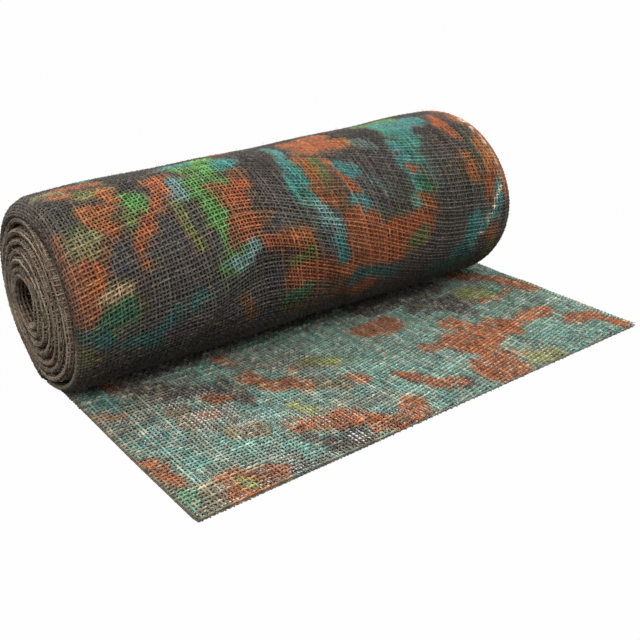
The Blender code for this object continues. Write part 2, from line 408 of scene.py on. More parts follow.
def unprinted(colour, ground):
    # How much of the bare ground shows, from 0 inside a blotch to 1 well away from any
    return smooth(0.060, 0.012, np.linalg.norm(colour - linear(*ground), axis=-1))


def alongRoll(x):
    return (x - roll["left"]) / (roll["right"] - roll["left"])


def swell(x, turn):
    # Slow unevenness of the wound cloth, with the crease
    height = 0.0
    for wave in swells:
        along = 2 * math.pi * wave["along"] * alongRoll(x) + wave["phase"]
        around = 2 * math.pi * wave["around"] * turn + wave["phase"]
        height = height + wave["height"] * np.sin(along) * np.cos(around)
    crown = crease["turn"] + crease["fall"] * (x - crease["x"]) ** 2
    away = (turn % 1.0 - crown) / crease["width"]
    faded = np.exp(-((x - crease["x"]) / crease["reach"]) ** 2)
    ridge = np.exp(-away * away) - crease["dip"] * np.exp(-(away - crease["dipAway"]) ** 2)
    return height + crease["height"] * faded * ridge


def rollPoint(x, turn, inward):
    halfDepth = mix(*roll["halfDepth"], alongRoll(x))
    halfHeight = mix(*roll["halfHeight"], alongRoll(x))
    angle = 2 * math.pi * turn
    inward = inward - swell(x, turn)
    y = roll["axisY"] + (halfDepth - inward) * np.sin(angle)
    z = halfHeight - roll["sink"] - (halfHeight - inward) * np.cos(angle)
    return np.stack(np.broadcast_arrays(x, y, z), axis=-1)


def frontShare(turn):
    # 1 right in front, 0 on top, behind and underneath
    return np.maximum(0.0, -np.sin(2 * math.pi * turn))


def endInset(end, turn):
    turn = turn % 1.0
    inset = mix(end["inset"], end["frontInset"], frontShare(turn) ** 1.5)
    # Low on the front the wrap keeps its full size up to its edge
    low = smooth(*roll["lowFront"], turn) + smooth(*roll["lowBack"], turn)
    return mix(inset, end["lowInset"], low)


def wrapBody():
    # The straight part between the rounded ends
    return roll["right"] - roll["rightEnd"]["length"] - roll["left"] - roll["leftEnd"]["length"]


def wrapWidth():
    return roll["leftEnd"]["across"] + wrapBody() + roll["rightEnd"]["across"]


def wrapPoint(across, turn, depth):
    # A place on the outer wrap: across the cloth from its folded edge, and depth under its face
    left, right = roll["leftEnd"], roll["rightEnd"]
    fromRight = wrapWidth() - across
    leftTurn = 0.5 * math.pi * (1 - np.clip(across / left["across"], 0, 1))
    rightTurn = 0.5 * math.pi * (1 - np.clip(fromRight / right["across"], 0, 1))
    inside = np.clip(across - left["across"], 0, wrapBody())
    x = roll["left"] + left["length"] + inside
    x = x - left["length"] * np.sin(leftTurn) + right["length"] * np.sin(rightTurn)
    inset = (1 - np.cos(leftTurn)) * endInset(left, turn) + (1 - np.cos(rightTurn)) * endInset(right, turn)
    tuckLeft, tuckRight = np.maximum(0, -across), np.maximum(0, -fromRight)
    x = x + tuckLeft - tuckRight + roll["recess"] * frontShare(turn) * (1 - np.cos(leftTurn))
    inset = inset + roll["tuckSlope"] * (tuckLeft + tuckRight)
    wound = turn - roll["seamTurn"]
    point = rollPoint(x, turn, inset + cloth["stack"] * wound + depth)
    floor = np.where(wound > 0.5, cloth["stack"], 0.0) + depth
    point[..., 2] = np.maximum(point[..., 2], floor)
    return point


def gridNormals(grid, outward):
    # Normals of a grid of points, on the side that outward, a rough direction, says
    normal = np.cross(np.gradient(grid, axis=0), np.gradient(grid, axis=1))
    normal /= np.linalg.norm(normal, axis=-1, keepdims=True) + 1e-12
    facing = np.sign(np.sum(normal * outward, axis=-1, keepdims=True))
    return normal * np.where(facing == 0, 1.0, facing)


class Strands:
    # Collects yarns or fibres: the points of each, how thick it is there, and its colour
    def __init__(self):
        self.points, self.girths, self.colours, self.counts = [], [], [], []

    def add(self, points, girth, colour):
        self.points.append(np.asarray(points, float))
        self.girths.append(np.broadcast_to(girth, len(points)).astype(float))
        self.colours.append(np.broadcast_to(colour, (len(points), 3)).astype(float))
        self.counts.append(len(points))

    def mesh(self, name):
        points = np.concatenate(self.points)
        starts = np.concatenate(([0], np.cumsum(self.counts)))
        ends = np.ones(len(points), bool)
        ends[starts[1:] - 1] = False
        first = np.nonzero(ends)[0]
        edges = np.stack((first, first + 1), axis=1)
        made = bpy.data.meshes.new(name)
        made.vertices.add(len(points))
        made.vertices.foreach_set("co", points.astype(np.float32).ravel())
        made.edges.add(len(edges))
        made.edges.foreach_set("vertices", edges.astype(np.int32).ravel())
        made.update()
        girth = made.attributes.new("girth", "FLOAT", "POINT")
        girth.data.foreach_set("value", np.concatenate(self.girths).astype(np.float32))
        setColours(made, np.concatenate(self.colours))
        return made


def setColours(mesh, colours):
    layer = mesh.color_attributes.new("print", "FLOAT_COLOR", "POINT")
    full = np.concatenate((np.clip(colours, 0, 1), np.ones((len(colours), 1))), axis=1)
    layer.data.foreach_set("color", full.astype(np.float32).ravel())


def newNode(tree, kind, inputs=None):
    # A node, with a value or the socket that feeds it for each input
    node = tree.nodes.new(kind)
    setInputs(tree, node, inputs or {})
    return node


def setInputs(tree, node, inputs):
    for name, value in inputs.items():
        if isinstance(value, bpy.types.NodeSocket):
            tree.links.new(value, node.inputs[name])
        else:
            node.inputs[name].default_value = value


def mathNode(tree, operation, first, second=None):
    node = tree.nodes.new("ShaderNodeMath")
    node.operation = operation
    setInputs(tree, node, {place: value for place, value in enumerate((first, second)) if value is not None})
    return node.outputs["Value"]


def mixNode(tree, first, second, share, blend="MIX"):
    node = tree.nodes.new("ShaderNodeMix")
    node.data_type = "RGBA"
    node.blend_type = blend
    setInputs(tree, node, {"A": first, "B": second, "Factor": share})
    return node.outputs["Result"]


def newGroup(name, kind, inputs, outputs):
    tree = bpy.data.node_groups.new(name, kind)
    for label, socketKind, value in inputs:
        socket = tree.interface.new_socket(label, in_out="INPUT", socket_type="NodeSocket" + socketKind)
        if value is not None:
            socket.default_value = value
    for label, socketKind in outputs:
        tree.interface.new_socket(label, in_out="OUTPUT", socket_type="NodeSocket" + socketKind)
    return tree, tree.nodes.new("NodeGroupInput").outputs, tree.nodes.new("NodeGroupOutput")


# Geometry Nodes: every yarn and fibre is spun along its path by this one tree
def spinTree():
    tree, given, out = newGroup(
        "spinYarn", "GeometryNodeTree",
        [("Geometry", "Geometry", None), ("Sides", "Int", 4), ("Thickness", "Float", 1.0),
         ("Finish", "Material", None)],
        [("Geometry", "Geometry")])
    paths = newNode(tree, "GeometryNodeMeshToCurve", {"Mesh": given["Geometry"]})
    length = newNode(tree, "GeometryNodeSplineParameter")
    keepLength = newNode(tree, "GeometryNodeStoreNamedAttribute", {
        "Geometry": paths.outputs["Curve"], "Name": "alongYarn", "Value": length.outputs["Length"]})
    girth = newNode(tree, "GeometryNodeInputNamedAttribute", {"Name": "girth"})
    scaled = mathNode(tree, "MULTIPLY", girth.outputs["Attribute"], given["Thickness"])
    ring = newNode(tree, "GeometryNodeCurvePrimitiveCircle", {"Radius": 1.0, "Resolution": given["Sides"]})
    around = newNode(tree, "GeometryNodeSplineParameter")
    keepAround = newNode(tree, "GeometryNodeStoreNamedAttribute", {
        "Geometry": ring.outputs["Curve"], "Name": "roundYarn", "Value": around.outputs["Factor"]})
    tube = newNode(tree, "GeometryNodeCurveToMesh", {
        "Curve": keepLength.outputs["Geometry"], "Profile Curve": keepAround.outputs["Geometry"],
        "Scale": scaled, "Fill Caps": True})
    soft = newNode(tree, "GeometryNodeSetShadeSmooth", {"Geometry": tube.outputs["Mesh"]})
    real = newNode(tree, "GeometryNodeRealizeInstances", {"Geometry": soft.outputs["Geometry"]})
    paint = newNode(tree, "GeometryNodeSetMaterial", {
        "Geometry": real.outputs["Geometry"], "Material": given["Finish"]})
    setInputs(tree, out, {"Geometry": paint.outputs["Geometry"]})
    named = {face.name: face.identifier for face in tree.interface.items_tree if face.in_out == "INPUT"}
    return tree, named


def spin(strands, name, sides, finish):
    # Runs the tree on these strands and keeps the plain mesh that it gives
    paths = bpy.data.objects.new(name + "Paths", strands.mesh(name + "Paths"))
    bpy.context.scene.collection.objects.link(paths)
    work = paths.modifiers.new("spin", "NODES")
    work.node_group, named = spinner
    work[named["Sides"]] = sides
    work[named["Thickness"]] = 1.0
    work[named["Finish"]] = finish
    paths.update_tag()
    graph = bpy.context.evaluated_depsgraph_get()
    mesh = bpy.data.meshes.new_from_object(paths.evaluated_get(graph))
    mesh.name = name
    old = paths.data
    bpy.data.objects.remove(paths, do_unlink=True)
    bpy.data.meshes.remove(old)
    if not mesh.materials:
        mesh.materials.append(finish)
    made = bpy.data.objects.new(name, mesh)
    bpy.context.scene.collection.objects.link(made)
    print(name, sum(len(face.vertices) - 2 for face in mesh.polygons), "triangles")
    return made


def fibreGroup():
    # Streaks of fibre that run along a yarn with its twist, over the yarn's printed colour
    tree, given, out = newGroup(
        "juteFibre", "ShaderNodeTree",
        [("Print", "Color", None), ("Along", "Float", 0.0), ("Round", "Float", 0.0),
         ("Twist", "Float", 160.0), ("Streaks", "Float", 0.5), ("Bare Jute", "Float", 0.2)],
        [("Color", "Color"), ("Height", "Float"), ("Roughness", "Float")])
    turned = mathNode(tree, "MULTIPLY", given["Along"], given["Twist"])
    turned = mathNode(tree, "ADD", turned, given["Round"])
    place = newNode(tree, "ShaderNodeCombineXYZ", {
        "X": mathNode(tree, "MULTIPLY", given["Along"], 260.0), "Y": mathNode(tree, "MULTIPLY", turned, 5.0)})
    streak = newNode(tree, "ShaderNodeTexNoise", {
        "Scale": 1.0, "Detail": 3.0, "Vector": place.outputs["Vector"]}).outputs["Fac"]
    where = newNode(tree, "ShaderNodeTexCoord")
    fleck = newNode(tree, "ShaderNodeTexNoise", {
        "Scale": 420.0, "Detail": 2.0, "Vector": where.outputs["Object"]})
    bare = newNode(tree, "ShaderNodeMapRange", {
        "From Min": 0.52, "From Max": 0.74, "Value": fleck.outputs["Fac"]})
    shown = mathNode(tree, "MULTIPLY", bare.outputs["Result"], given["Bare Jute"])
    natural = mixNode(tree, given["Print"], (*linear(196, 174, 132), 1.0), shown)
    light = newNode(tree, "ShaderNodeMapRange", {
        "From Min": 0.30, "From Max": 0.70, "Value": streak,
        "To Min": mathNode(tree, "SUBTRACT", 1.0, given["Streaks"]),
        "To Max": mathNode(tree, "ADD", 1.0, given["Streaks"])})
    shade = mixNode(tree, natural, light.outputs["Result"], 1.0, "MULTIPLY")
    rough = newNode(tree, "ShaderNodeMapRange", {"To Min": 0.80, "To Max": 0.97, "Value": streak})
    setInputs(tree, out, {"Color": shade, "Height": streak, "Roughness": rough.outputs["Result"]})
    return tree


def weaveGroup():
    # An open plain weave on a flat cloth's own UV map: where yarn is, and how high it stands
    tree, given, out = newGroup(
        "openWeave", "ShaderNodeTree",
        [("Cloth", "Vector", None), ("Pitch", "Float", 0.0029), ("Pitch Across", "Float", 0.0035)],
        [("Yarn", "Float"), ("Height", "Float")])
    split = newNode(tree, "ShaderNodeSeparateXYZ", {"Vector": given["Cloth"]})
    ridges = []
    for side, pitch in (("X", "Pitch"), ("Y", "Pitch Across")):
        phase = mathNode(tree, "DIVIDE", split.outputs[side], given[pitch])
        phase = mathNode(tree, "MULTIPLY", phase, 2 * math.pi)
        ridges.append(mathNode(tree, "COSINE", phase))
    height = mathNode(tree, "MAXIMUM", *ridges)
    mask = newNode(tree, "ShaderNodeMapRange", {"From Min": -0.35, "From Max": 0.25, "Value": height})
    mask.interpolation_type = "SMOOTHSTEP"
    setInputs(tree, out, {"Yarn": mask.outputs["Result"], "Height": height})
    return tree


def attribute(tree, name, output):
    node = tree.nodes.new("ShaderNodeAttribute")
    node.attribute_name = name
    return node.outputs[output]


def clothMaterial(name, group, sheen):
    # A matt cloth, its tree, its shader and the group that colours it
    made = bpy.data.materials.new(name)
    made.use_nodes = True
    tree = made.node_tree
    shader = tree.nodes["Principled BSDF"]
    setInputs(tree, shader, {
        "Metallic": 0.0, "Specular IOR Level": 0.25, "Sheen Weight": sheen, "Sheen Roughness": 0.6})
    pattern = tree.nodes.new("ShaderNodeGroup")
    pattern.node_tree = groups[group]
    return made, tree, shader, pattern


def yarnMaterial(name, settings):
    made, tree, shader, fibre = clothMaterial(name, "fibre", settings["sheen"])
    setInputs(tree, fibre, {
        "Twist": settings["twist"], "Streaks": settings["streaks"], "Bare Jute": settings["bareJute"],
        "Print": attribute(tree, "print", "Color"), "Along": attribute(tree, "alongYarn", "Fac"),
        "Round": attribute(tree, "roundYarn", "Fac")})
    bump = newNode(tree, "ShaderNodeBump", {
        "Strength": 0.6, "Distance": 0.0004, "Height": fibre.outputs["Height"]})
    setInputs(tree, shader, {
        "Normal": bump.outputs["Normal"], "Base Color": fibre.outputs["Color"],
        "Roughness": fibre.outputs["Roughness"]})
    return made


def plyMaterial(name, settings):
    # An inner ply, seen only through the net that lies on it
    made, tree, shader, weave = clothMaterial(name, "weave", settings["sheen"])
    layout = tree.nodes.new("ShaderNodeUVMap")
    layout.uv_map = "clothMetres"
    setInputs(tree, weave, {
        "Pitch": settings["pitch"], "Pitch Across": cloth["pitchAcross"], "Cloth": layout.outputs["UV"]})
    # The holes between the yarns are painted with shade
    holeShade = (*linear(*settings["holeShade"]), 1.0)
    seen = mixNode(tree, holeShade, attribute(tree, "print", "Color"), weave.outputs["Yarn"])
    bump = newNode(tree, "ShaderNodeBump", {
        "Strength": 0.8, "Distance": 0.0008, "Height": weave.outputs["Height"]})
    setInputs(tree, shader, {"Base Color": seen, "Roughness": 0.95, "Normal": bump.outputs["Normal"]})
    return made


def gridSheet(name, grid, colours, layout, finish):
    # A sheet of cloth on a grid of points, with the cloth's own metres as its UV map
    rows, columns = grid.shape[:2]
    index = np.arange(rows * columns).reshape(rows, columns)
    corners = (index[:-1, :-1], index[1:, :-1], index[1:, 1:], index[:-1, 1:])
    faces = np.stack([corner.ravel() for corner in corners], axis=1)
    mesh = bpy.data.meshes.new(name)
    mesh.from_pydata(grid.reshape(-1, 3).tolist(), [], faces.tolist())
    uv = mesh.uv_layers.new(name="clothMetres")
    uv.data.foreach_set("uv", layout.reshape(-1, 2)[faces.ravel()].astype(np.float32).ravel())
    setColours(mesh, colours.reshape(-1, 3))
    mesh.shade_smooth()
    mesh.materials.append(finish)
    made = bpy.data.objects.new(name, mesh)
    bpy.context.scene.collection.objects.link(made)
    return made


# The outer wrap of the roll
outerNet = {
    "spacing": 0.09,             # how unevenly the yarns are spaced, against the pitch
    "wander": 0.17,              # how far one yarn strays from its line, against the pitch
    "drift": 0.0040,             # slow bending of the whole cloth
    "slub": 0.26,                # thick and thin places along a yarn
    "tint": 0.20,                # lighter and darker yarns
    "shadow": 0.10,              # painted shadow where a yarn dips under, painted highlight where it rides over
    "speckle": 0.36,             # lighter and darker places along a yarn
    "girthLeft": 1.16,
    "girthRight": 1.03,
    "acrossGirth": 1.0,          # the crossing yarns against the others
    "sides": 4,
}
# How the net is pulled out of square: the slope of its crossing yarns along the roll, and the place
# low in front where the lengthwise yarns are dragged sideways, all in metres
pull = {
    "reach": (-0.26, 0.25),
    "slopeLeft": -0.25,
    "slopeRight": 0.36,
    "changes": (-0.115, -0.045),
    "slopeLess": 0.22,
    "lessens": (0.085, 0.135),
    "drag": 0.016,
    "dragStarts": (0.285, 0.42),
    "dragX": -0.035,
    "dragWidth": 0.095,
}
# Tones of the roll's print beside its inks, with painted light and shade
rollToneAndLight = {
    "topTurns": (0.62, 0.54),    # on top and behind, painted light brightens the blotches and painted shade darkens the ground
    "topPaintedLight": 0.18,
    "topPaintedShade": -0.48,
    "frontTurns": (0.77, 0.87),  # low on the front, painted shade darkens the cloth
    "frontPaintedShade": 0.52,
    "innerPly": (1.8, 1.0),      # left, where the net is more open, painted light brightens the inner ply
    "patches": [
        {"times": (0.92, 1.22, 0.86), "perMetre": (38, 38), "between": (0.0, 0.8), "share": 0.6, "seed": 31},
        {"times": (1.25, 0.98, 0.85), "perMetre": (34, 34), "between": (0.0, 0.8), "share": 0.6, "seed": 33},
        {"ink": (150, 138, 112), "perMetre": (410, 390), "between": (0.2, 0.9), "share": 0.16, "seed": 32},
        {"ink": (52, 48, 46), "perMetre": (370, 350), "between": (0.0, 0.9), "share": 0.42, "seed": 34},
    ],
}
# Wear and painted shade at the rolled edges: spans in metres across the wrap from its folded edge, and in
# turns
edgeWearAndShade = {
    "rubWide": (0.034, 0.016),
    "rubNarrow": (0.014, 0.000),
    "rubShares": (0.45, 0.55),
    "rubInk": (96, 86, 78),
    # painted shade where the left edge dips into the recess in front
    "recessShadeAcross": (0.012, 0.003),
    "recessShadeStarts": (0.48, 0.58),
    "recessShadeEnds": (0.84, 0.76),
    "recessShadeInk": (60, 44, 38),
    "lowTurns": (0.76, 0.82),
    "lowAcross": (0.008, 0.001),
    "lowInk": (150, 146, 118),
}
# The pale, worn line along the right end's rounded edge
paleLine = {
    "inward": 0.004,
    "lean": 0.031,
    "leans": (0.66, 0.80),
    "width": 0.0030,
    "dashes": (330, 210),        # per metre across, and per turn
    "dashBetween": (-0.1, 0.6),
    "starts": (0.50, 0.53),
    "ends": (0.82, 0.77),
    "gapTurn": 0.655,            # where it shows least
    "gapWidth": 0.045,
    "gapShare": 0.6,
    "ink": (232, 208, 180),
    "seed": 71,
}


def rollPrint(x, turn):
    x, around = x - roll["datum"], turn * roll["girthLength"]
    hidden = [blotch for row in hiddenBlotches for blotch in strayBlotches(*row)]
    colour = printed(x, around, "charcoal", hidden + rollBlotches, inks, halos, 21)
    # On top and behind, painted light on the blotches and painted shade on the ground
    contrast = mix(rollToneAndLight["topPaintedLight"], rollToneAndLight["topPaintedShade"], unprinted(colour, inks["charcoal"]))
    colour = colour * (1 + smooth(*rollToneAndLight["topTurns"], turn) * contrast)[..., None]
    colour = speckled(colour, x, around, rollToneAndLight["patches"])
    # Painted shade low on the front
    return colour * (1 - rollToneAndLight["frontPaintedShade"] * smooth(*rollToneAndLight["frontTurns"], turn % 1.0))[..., None]


def yarnLines(start, end, pitchAt):
    # Places of the yarns from start to end, where the pitch changes along the way
    fine = np.linspace(start, end, 2000)
    count = np.concatenate(([0], np.cumsum(np.diff(fine) / pitchAt(fine[:-1]))))
    return np.interp(np.arange(0.5, count[-1], 1.0), count, fine)


def warpedGrid(first, second, settings, seed):
    # Yarn crossings on the flat cloth: lines at the places first and second, each strayed a little
    rng = np.random.default_rng(seed)
    pitch = cloth["pitch"]
    spread, most, stray = settings["spacing"] * pitch, 0.9 * pitch, settings["wander"] * pitch
    i, j = np.arange(len(first))[:, None], np.arange(len(second))[None, :]
    firstOff = rng.normal(0, spread, len(first)).clip(-most, most)[:, None]
    secondOff = rng.normal(0, spread, len(second)).clip(-most, most)[None, :]
    firstStray = stray * latticeNoise(i * 3.7, j / 5.0, seed + 1)
    secondStray = stray * latticeNoise(i / 5.0, j * 3.7, seed + 2)
    slowFirst = settings["drift"] * latticeNoise(i / 22.0, j / 17.0, seed + 3)
    slowSecond = settings["drift"] * latticeNoise(i / 20.0, j / 22.0, seed + 4)
    a = first[:, None] + firstOff + firstStray + slowFirst
    b = second[None, :] + secondOff + secondStray + slowSecond
    return a, b


def weaveStrands(grid, normals, colours, settings, girth, seed, kept):
    # Over and under at every crossing. Gives the two sets of yarns, cut where kept is false.
    rng = np.random.default_rng(seed)
    rows, columns = grid.shape[:2]
    i, j = np.arange(rows)[:, None], np.arange(columns)[None, :]
    over = (np.where((i + j) % 2 == 0, 1.0, -1.0) * cloth["rise"])[..., None]
    sets = []
    for which, side, count, full in ((0, 1.0, rows, 1.0), (1, -1.0, columns, settings["acrossGirth"])):
        points = grid + normals * over * side
        tint = 1 + settings["tint"] * rng.normal(0, 1, count).clip(-1.8, 1.8)
        base = full * (1 + 0.12 * rng.normal(0, 1, count).clip(-2, 2))
        tint, base = (tint[:, None], base[:, None]) if which == 0 else (tint[None, :], base[None, :])
        scaleI, scaleJ = ((3.1, 0.45), (0.45, 3.1))[which]
        slub = 1 + settings["slub"] * latticeNoise(i * scaleI, j * scaleJ, seed + 5 + which)
        patch = 1 + settings["speckle"] * latticeNoise(i * scaleI * 1.3, j * scaleJ * 1.3, seed + 8 + which)
        width = girth * base * slub
        # Painted shadow where a yarn dips under and painted highlight where it rides over, beside random tint
        # and speckle
        shade = colours * (tint * patch * (1 + settings["shadow"] * np.sign(over[..., 0]) * side))[..., None]
        lines = []
        for k in range(count):
            row = (k, slice(None)) if which == 0 else (slice(None), k)
            inside = kept[row]
            if inside.sum() > 2:
                lines.append((points[row][inside], width[row][inside], shade[row][inside]))
        sets.append(lines)
    return sets


def bowOfCloth(x):
    # How far the crossing yarns slant along the roll: up to the crease from both ends
    fine = np.linspace(*pull["reach"], 400)
    slope = mix(pull["slopeLeft"], pull["slopeRight"], smooth(*pull["changes"], fine))
    slope = slope - pull["slopeLess"] * smooth(*pull["lessens"], fine)
    bow = np.concatenate(([0], np.cumsum(slope[:-1] * np.diff(fine))))
    return np.interp(x, fine, bow - np.interp(crease["x"], fine, bow))


def outerWrap():
    firstPlace, lastPlace = roll["firstTurn"] * roll["girthLength"], roll["lastTurn"] * roll["girthLength"]
    across = yarnLines(-roll["tuck"], wrapWidth() + roll["tuck"],
                       lambda a: mix(cloth["pitch"], cloth["pitchTight"], smooth(*cloth["tightens"], a)))
    around = np.arange(firstPlace - 0.10, lastPlace + 0.05, cloth["pitchAcross"])
    a, b = warpedGrid(across, around, outerNet, roll["seed"])
    fromDatum = a - roll["datumAcross"]
    b = b + bowOfCloth(fromDatum)
    near = np.exp(-((fromDatum - pull["dragX"]) / pull["dragWidth"]) ** 2)
    a = a + pull["drag"] * (smooth(*pull["dragStarts"], b) * near)
    turn = b / roll["girthLength"]
    kept = (turn > roll["firstTurn"]) & (turn < roll["lastTurn"])
    turn = np.clip(turn, roll["firstTurn"] - 0.01, roll["lastTurn"] + 0.01)
    grid = wrapPoint(a, turn, cloth["girth"] + cloth["rise"])
    middle = np.stack(np.broadcast_arrays(grid[..., 0] * 0.8, roll["axisY"], 0.075), axis=-1)
    normals = gridNormals(grid, grid - middle)
    colours = rollPrint(grid[..., 0], turn)
    colours = withPaleLine(colours, a, turn)
    colours = wornAndShaded(colours, a, turn)
    thick = mix(outerNet["girthLeft"], outerNet["girthRight"], smooth(*cloth["tightens"], a))
    sets = weaveStrands(grid, normals, colours, outerNet, cloth["girth"] * thick, roll["seed"] + 40, kept)
    made = []
    firstHalf, secondHalf = len(sets[0]) // 2, len(sets[1]) // 2
    parts = (("rollYarnsAroundLeft", sets[0][:firstHalf]), ("rollYarnsAroundRight", sets[0][firstHalf:]),
             ("rollYarnsAlongBack", sets[1][:secondHalf]), ("rollYarnsAlongFront", sets[1][secondHalf:]))
    for name, lines in parts:
        strands = Strands()
        for points, girth, colour in lines:
            points[:, 2] = np.maximum(points[:, 2], girth)
            strands.add(points, girth, colour)
        made.append(spin(strands, name, outerNet["sides"], finishes["yarn"]))
    return made


def wornAndShaded(colours, across, turn):
    # The fold at the left end is rubbed to a brown-grey, carries painted shade where it dips into the recess
    # in front, and is pale below
    wide, narrow = edgeWearAndShade["rubShares"]
    rubbed = wide * smooth(*edgeWearAndShade["rubWide"], across) + narrow * smooth(*edgeWearAndShade["rubNarrow"], across)
    low = smooth(*edgeWearAndShade["lowTurns"], turn) * smooth(*edgeWearAndShade["lowAcross"], across)
    # Painted shade in the recess where the left edge dips in front
    dip = smooth(*edgeWearAndShade["recessShadeAcross"], across) * smooth(*edgeWearAndShade["recessShadeStarts"], turn)
    dip = dip * smooth(*edgeWearAndShade["recessShadeEnds"], turn)
    colours = mix(colours, linear(*edgeWearAndShade["rubInk"]), 0.85 * rubbed[..., None])
    colours = mix(colours, linear(*edgeWearAndShade["recessShadeInk"]), 0.8 * dip[..., None])
    return mix(colours, linear(*edgeWearAndShade["lowInk"]), 0.7 * low[..., None])


def withPaleLine(colours, across, turn):
    # Worn, undyed yarn shows in dashes
    start = wrapWidth() - roll["rightEnd"]["across"]
    bend = start + paleLine["inward"] - paleLine["lean"] * smooth(*paleLine["leans"], turn)
    near = np.exp(-((across - bend) / paleLine["width"]) ** 2)
    perAcross, perTurn = paleLine["dashes"]
    noise = latticeNoise(across * perAcross, turn * perTurn, paleLine["seed"])
    span = smooth(*paleLine["starts"], turn) * smooth(*paleLine["ends"], turn)
    gap = np.exp(-((turn - paleLine["gapTurn"]) / paleLine["gapWidth"]) ** 2)
    span = span * (1 - paleLine["gapShare"] * gap)
    worn = (near * smooth(*paleLine["dashBetween"], noise) * span)[..., None]
    return mix(colours, linear(*paleLine["ink"]), worn)


def innerPly():
    # The second ply of the outer wrap, just under the net
    rows, columns = 90, 160
    across = np.linspace(-roll["tuck"], wrapWidth() + roll["tuck"], rows)[:, None]
    turn = np.linspace(roll["seamTurn"], roll["seamTurn"] + 0.995, columns)[None, :]
    across, turn = np.broadcast_arrays(across, turn)
    grid = wrapPoint(across, turn, cloth["girth"] + cloth["rise"] + roll["plyDrop"])
    # Painted light brightens the inner ply towards the left
    lit = mix(*rollToneAndLight["innerPly"], smooth(*cloth["tightens"], across))
    colours = rollPrint(grid[..., 0], turn) * lit[..., None]
    layout = np.stack((across + 0.0011, turn * roll["girthLength"]), axis=-1)
    return gridSheet("rollInnerPly", grid, colours, layout, finishes["innerPly"])


# The coil: the wound cloth inside, whose folded and cut edges show at both ends
coil = {
    "turns": 7,
    "holeY": 0.0020,
    "holeZ": 0.0725,
    "holeShare": 0.205,
    "firstGap": 0.62,            # how far inside the wrap the first turn starts, in turns
    "tightTurn": 0.47,           # here the outermost turn lies close to the wrap on top
    "tightWidth": 0.10,
    "tightShare": 0.045,
    "halfCloth": 0.0016,         # from the middle of the folded cloth to the middle of a ply
    "wander": 0.022,             # how unevenly the turns lie
    "settles": 0.010,            # deeper in than this they lie more evenly
    "proud": 0.0016,             # how far the edges stand in and out
    "loop": [(1.0, 0.0130), (1.1, 0.0085), (0.9, 0.0045), (1.1, 0.0014)],  # half cloths, depth
    "tip": (0.55, 0.0001),
    "stub": (-0.0012, 0.0006),   # how unevenly the selvedges end
    "lean": 0.010,
    "edgeYarns": (0.0022, 0.0050, 0.0080),
    "foldYarns": [(0.0006, 0.0001), (-0.0007, 0.0004)],
    "yarnTone": (0.65, 1.2),     # darkest and lightest yarn
    "paleTip": (186, 172, 144),
    "paleFold": (188, 176, 148),
    "ground": (142, 122, 104),
    "patches": [
        {"ink": (136, 128, 98), "perMetre": (1, 1), "between": (0.1, 0.8), "share": 0.4, "seed": 0},
        {"ink": (78, 58, 50), "perMetre": (1, 1), "between": (0.0, 0.7), "share": 0.8, "seed": 1},
        {"ink": (168, 84, 60), "perMetre": (1.7, 1), "between": (0.66, 0.9), "share": 0.6, "seed": 2},
    ],
    "seed": 301,
}


def coilPoint(end, wound, offset, depth):
    # wound: turns from the outside. offset: outwards from the middle of the cloth. depth: in from the edge.
    edge, outward = (roll["left"], -1.0) if end == "left" else (roll["right"], 1.0)
    sizes = roll[end + "End"]
    seed = coil["seed"] if end == "left" else coil["seed"] + 9
    turn = roll["seamTurn"] + wound
    settle = np.exp(-depth / coil["settles"])
    opened = 1 - 0.45 * smooth(0, sizes["length"], depth)
    around = rollPoint(edge, turn, endInset(sizes, turn) * opened)
    pitch = (1 - coil["holeShare"]) / (coil["turns"] + 1)
    share = 1 - pitch * (wound + coil["firstGap"])
    share = share + coil["wander"] * latticeNoise(wound * 5.3, 3.5, seed) * mix(0.35, 1.0, settle)
    tight = np.exp(-((wound - coil["tightTurn"]) / coil["tightWidth"]) ** 2)
    share = share + coil["tightShare"] * tight
    y = roll["axisY"] + mix(coil["holeY"], around[..., 1] - roll["axisY"], share)
    z = mix(coil["holeZ"], around[..., 2], share)
    toward = np.stack((y - roll["axisY"] - coil["holeY"], z - coil["holeZ"]), axis=-1)
    toward /= np.linalg.norm(toward, axis=-1, keepdims=True) + 1e-9
    y, z = y + offset * toward[..., 0], z + offset * toward[..., 1]
    dome = sizes["dome"] * (1 - share * share)
    uneven = coil["proud"] * latticeNoise(wound * 7.7, 11.5, seed + 3)
    x = edge + outward * (dome + uneven * settle - depth)
    return np.stack(np.broadcast_arrays(x, y, z), axis=-1)


def coilPrint(wound, depth, seed):
    # Mostly brown-grey with hints of the print
    ground = np.empty(np.broadcast(wound, depth).shape + (3,))
    ground[:] = linear(*coil["ground"])
    return speckled(ground, wound * 9.0, depth * 120, coil["patches"], seed)


def runLength(points):
    # The distance covered at each point of a path
    return np.concatenate(([0], np.cumsum(np.linalg.norm(np.diff(points, axis=0), axis=1))))


def coilLengths(end):
    # How far along the spiral each small step of winding gets, for even spacing of the yarns
    wound = np.linspace(0.02, coil["turns"], 2400)
    return wound, runLength(coilPoint(end, wound, 0.0, 0.0))


